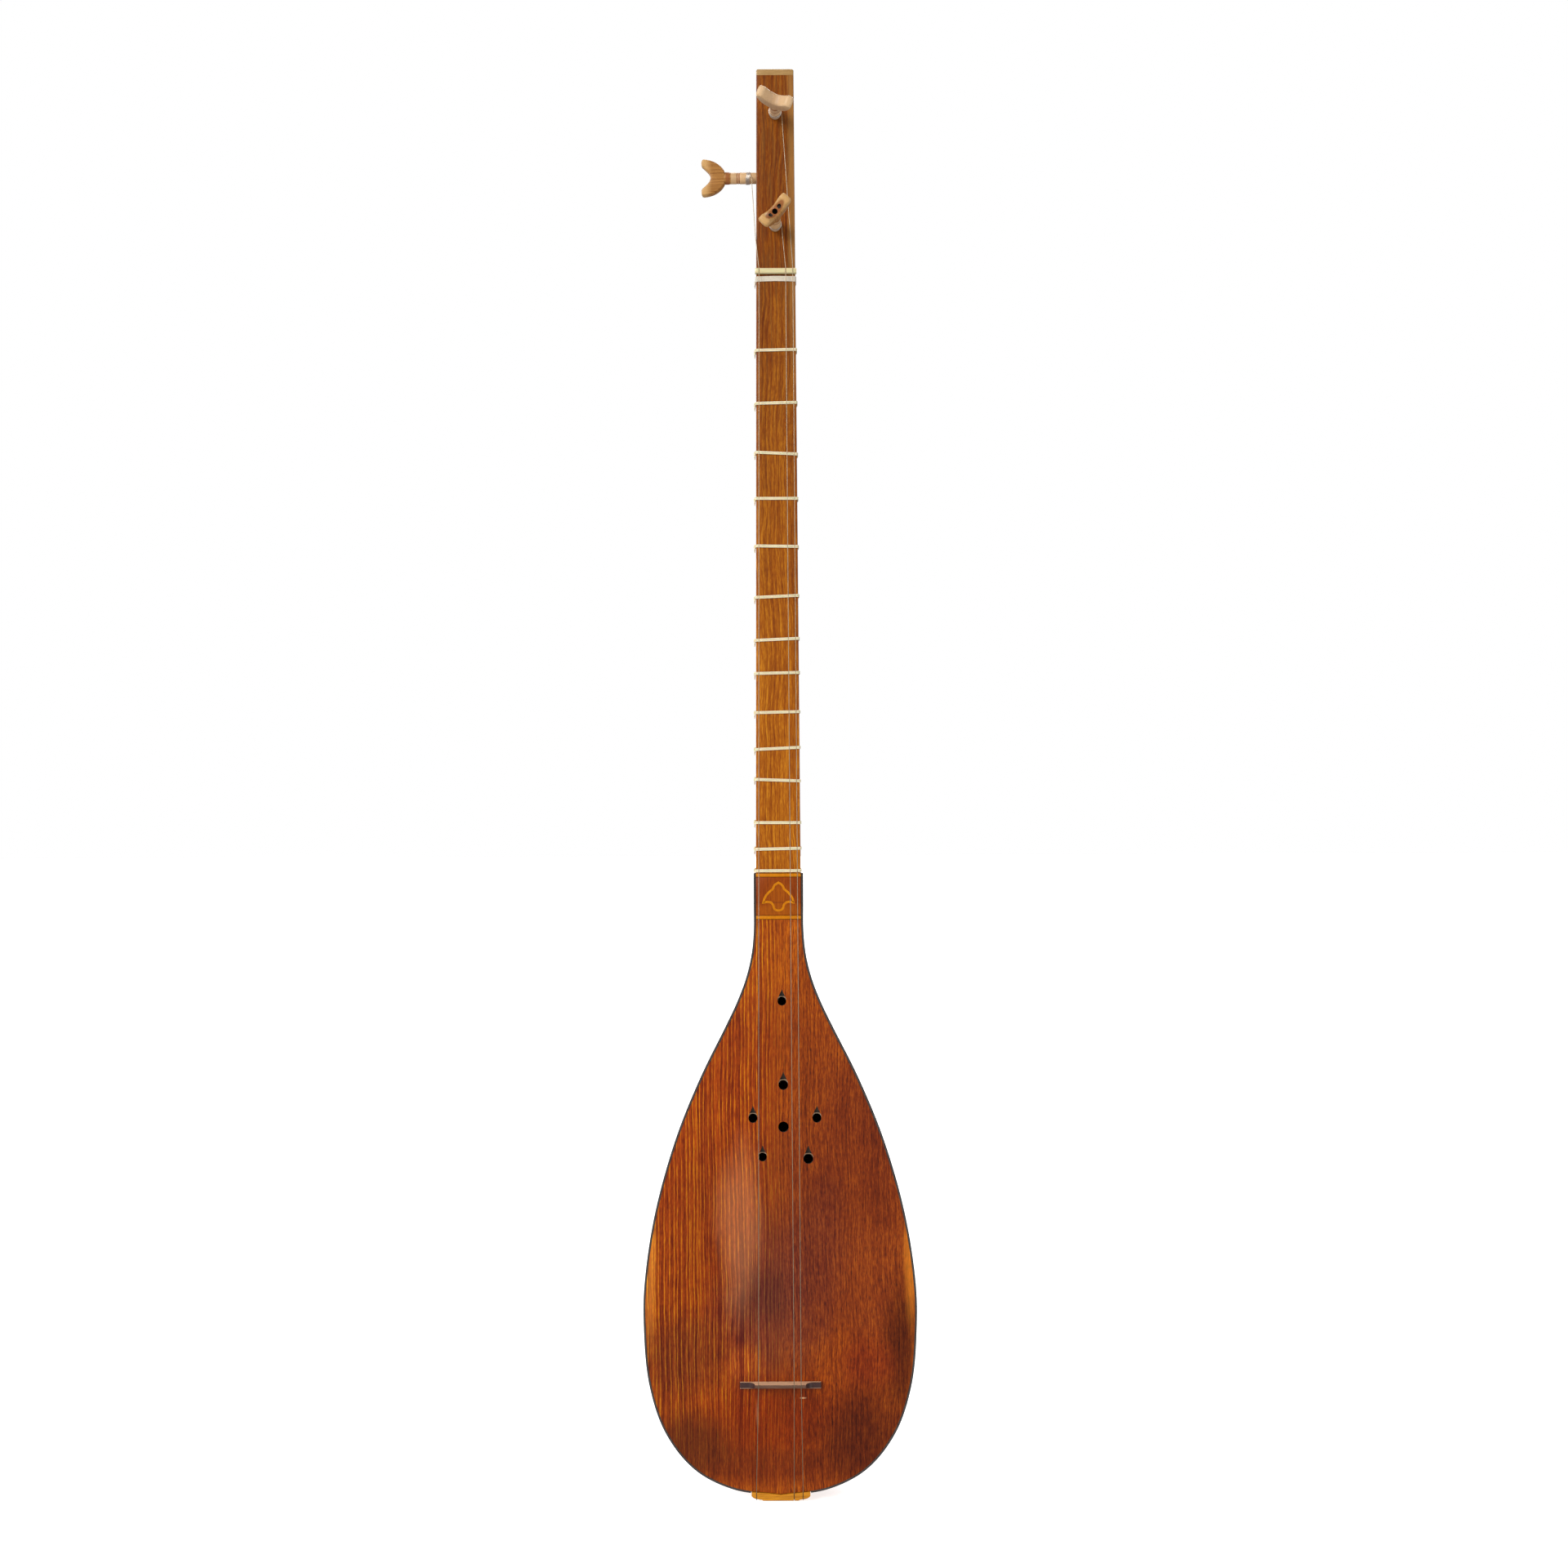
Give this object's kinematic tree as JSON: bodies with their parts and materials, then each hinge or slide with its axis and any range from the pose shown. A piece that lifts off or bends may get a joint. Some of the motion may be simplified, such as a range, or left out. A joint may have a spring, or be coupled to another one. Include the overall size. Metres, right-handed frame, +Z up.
{
  "type": "tanbur",
  "caption": "Long-necked lute with a pear-shaped ribbed bowl, wooden soundboard with small carved holes, tied gut frets, friction pegs, floating bridge and steel strings.",
  "frame": {"origin": "on the flat back of the head, midway between the two front pegs, where a wall hanger or clamp holds the instrument", "axes": "+Z up the neck towards the head, -Y towards the player's hand (soundboard, frets and strings face -Y), +Y out of the back of the head, +X the melody string side; the side peg is on -X"},
  "size_m": [0.1758, 0.1552, 0.9203],
  "materials": {
    "soundboard_wood": "satin lacquered mulberry, vertical grain, darker towards the treble side",
    "bowl_wood": "satin lacquered mulberry staves",
    "block_wood": "bare sawn mulberry",
    "end_cap_wood": "satin lacquered walnut",
    "rim_wood": "dark stained binding",
    "panel_wood": "satin lacquered red-brown mulberry",
    "inlay_wood": "golden yellow inlay wood",
    "neck_wood": "satin lacquered, long grain, more orange towards the bowl",
    "head_cap_wood": "light wood, satin",
    "nut_bone": "polished bone",
    "thread_cotton": "off-white twisted thread",
    "fret_gut": "cream gut, half matt",
    "string_steel": "plain steel wire",
    "peg_wood": "boxwood, satin, with burnt rings",
    "bridge_wood": "walnut, waxed",
    "tailpiece_wood": "golden boxwood, polished"
  },
  "bodies": {
    "root": {"bowl_stave_1": "bowl_wood", "bowl_stave_2": "bowl_wood", "bowl_stave_3": "bowl_wood", "bowl_stave_4": "bowl_wood", "bowl_stave_5": "bowl_wood", "bowl_stave_6": "bowl_wood", "bowl_stave_7": "bowl_wood", "bowl_stave_8": "bowl_wood", "bowl_stave_9": "bowl_wood", "neck_block": "block_wood", "tail_block": "block_wood", "end_cap": "end_cap_wood", "soundboard": "soundboard_wood", "rim_treble": "rim_wood", "rim_bass": "rim_wood", "joint_panel": "panel_wood", "panel_inlay": "inlay_wood", "inlay_strip_upper": "inlay_wood", "inlay_strip_lower": "inlay_wood", "neck": "neck_wood", "head_cap": "head_cap_wood", "nut": "nut_bone", "nut_thread": "thread_cotton", "string_1": "string_steel", "string_2": "string_steel", "string_3": "string_steel", "tailpiece": "tailpiece_wood"},
    "peg_side": {"peg_side": "peg_wood", "string_1_winding": "string_steel"},
    "peg_front_lower": {"peg_front_lower": "peg_wood", "string_2_winding": "string_steel"},
    "peg_front_upper": {"peg_front_upper": "peg_wood", "string_3_winding": "string_steel"},
    "bridge": {"bridge": "bridge_wood"},
    "fret_01": {"fret_01": "fret_gut"},
    "fret_02": {"fret_02": "fret_gut"},
    "fret_03": {"fret_03": "fret_gut"},
    "fret_04": {"fret_04": "fret_gut"},
    "fret_05": {"fret_05": "fret_gut"},
    "fret_06": {"fret_06": "fret_gut"},
    "fret_07": {"fret_07": "fret_gut"},
    "fret_08": {"fret_08": "fret_gut"},
    "fret_09": {"fret_09": "fret_gut"},
    "fret_10": {"fret_10": "fret_gut"},
    "fret_11": {"fret_11": "fret_gut"},
    "fret_12": {"fret_12": "fret_gut"},
    "fret_13": {"fret_13": "fret_gut"},
    "fret_14": {"fret_14": "fret_gut"}
  },
  "joints": [
    {"name": "peg_side_turn", "type": "hinge", "parent": "root", "child": "peg_side", "pos_m": [-0.0123, -0.018, -0.00305], "axis": [-1, 0, 0], "continuous": true},
    {"name": "peg_front_lower_turn", "type": "hinge", "parent": "root", "child": "peg_front_lower", "pos_m": [-0.0003, -0.026, -0.03605], "axis": [0, -1, 0], "continuous": true},
    {"name": "peg_front_upper_turn", "type": "hinge", "parent": "root", "child": "peg_front_upper", "pos_m": [0, -0.026, 0.03605], "axis": [0, -1, 0], "continuous": true},
    {"name": "bridge_slide", "type": "slide", "parent": "root", "child": "bridge", "axis": [0, 0, 1], "range_m": [-0.0015, 0.004]},
    {"name": "fret_01_slide", "type": "slide", "parent": "root", "child": "fret_01", "axis": [0, 0, 1], "range_m": [-0.004, 0.004]},
    {"name": "fret_02_slide", "type": "slide", "parent": "root", "child": "fret_02", "axis": [0, 0, 1], "range_m": [-0.004, 0.004]},
    {"name": "fret_03_slide", "type": "slide", "parent": "root", "child": "fret_03", "axis": [0, 0, 1], "range_m": [-0.004, 0.004]},
    {"name": "fret_04_slide", "type": "slide", "parent": "root", "child": "fret_04", "axis": [0, 0, 1], "range_m": [-0.004, 0.004]},
    {"name": "fret_05_slide", "type": "slide", "parent": "root", "child": "fret_05", "axis": [0, 0, 1], "range_m": [-0.004, 0.004]},
    {"name": "fret_06_slide", "type": "slide", "parent": "root", "child": "fret_06", "axis": [0, 0, 1], "range_m": [-0.004, 0.004]},
    {"name": "fret_07_slide", "type": "slide", "parent": "root", "child": "fret_07", "axis": [0, 0, 1], "range_m": [-0.004, 0.004]},
    {"name": "fret_08_slide", "type": "slide", "parent": "root", "child": "fret_08", "axis": [0, 0, 1], "range_m": [-0.004, 0.004]},
    {"name": "fret_09_slide", "type": "slide", "parent": "root", "child": "fret_09", "axis": [0, 0, 1], "range_m": [-0.004, 0.004]},
    {"name": "fret_10_slide", "type": "slide", "parent": "root", "child": "fret_10", "axis": [0, 0, 1], "range_m": [-0.004, 0.004]},
    {"name": "fret_11_slide", "type": "slide", "parent": "root", "child": "fret_11", "axis": [0, 0, 1], "range_m": [-0.004, 0.004]},
    {"name": "fret_12_slide", "type": "slide", "parent": "root", "child": "fret_12", "axis": [0, 0, 1], "range_m": [-0.004, 0.004]},
    {"name": "fret_13_slide", "type": "slide", "parent": "root", "child": "fret_13", "axis": [0, 0, 1], "range_m": [-0.004, 0.004]},
    {"name": "fret_14_slide", "type": "slide", "parent": "root", "child": "fret_14", "axis": [0, 0, 1], "range_m": [0, 0.004]}
  ]
}
